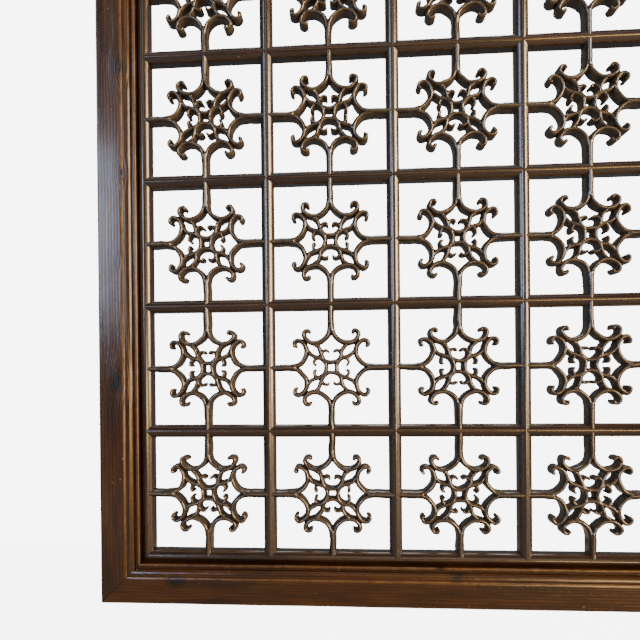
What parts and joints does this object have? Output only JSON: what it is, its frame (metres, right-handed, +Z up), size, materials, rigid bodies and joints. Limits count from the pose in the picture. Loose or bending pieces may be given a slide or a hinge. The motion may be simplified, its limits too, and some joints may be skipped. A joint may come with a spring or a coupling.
{
  "type": "wooden lattice panel",
  "caption": "Framed wooden lattice panel: moulded mitred frame, grid of crowned bars, and a carved scroll fretwork in every cell.",
  "frame": {"origin": "middle of the top rail's back face, where the panel is fixed", "axes": "+Z up, the carved front faces -Y, +X to the right seen from the front"},
  "size_m": [0.6618, 0.038, 0.8089],
  "materials": {
    "outer_frame_wood": "dark brown stain under a semi-gloss varnish, rubbed lighter along the edges",
    "lattice_wood": "dark brown stain under a semi-gloss varnish",
    "fret_wood": "carved, dark brown stain, rubbed to a lighter brown on the ridges"
  },
  "bodies": {
    "root": {"left_stile": "outer_frame_wood", "top_rail": "outer_frame_wood", "right_stile": "outer_frame_wood", "bottom_rail": "outer_frame_wood", "inner_strip_left": "lattice_wood", "inner_strip_top": "lattice_wood", "inner_strip_right": "lattice_wood", "inner_strip_bottom": "lattice_wood", "upright_bar_1": "lattice_wood", "upright_bar_2": "lattice_wood", "upright_bar_3": "lattice_wood", "level_bar_1": "lattice_wood", "level_bar_2": "lattice_wood", "level_bar_3": "lattice_wood", "level_bar_4": "lattice_wood", "fret_column_1_row_1": "fret_wood", "fret_column_1_row_2": "fret_wood", "fret_column_1_row_3": "fret_wood", "fret_column_1_row_4": "fret_wood", "fret_column_1_row_5": "fret_wood", "fret_column_2_row_1": "fret_wood", "fret_column_2_row_2": "fret_wood", "fret_column_2_row_3": "fret_wood", "fret_column_2_row_4": "fret_wood", "fret_column_2_row_5": "fret_wood", "fret_column_3_row_1": "fret_wood", "fret_column_3_row_2": "fret_wood", "fret_column_3_row_3": "fret_wood", "fret_column_3_row_4": "fret_wood", "fret_column_3_row_5": "fret_wood", "fret_column_4_row_1": "fret_wood", "fret_column_4_row_2": "fret_wood", "fret_column_4_row_3": "fret_wood", "fret_column_4_row_4": "fret_wood", "fret_column_4_row_5": "fret_wood"}
  },
  "joints": []
}
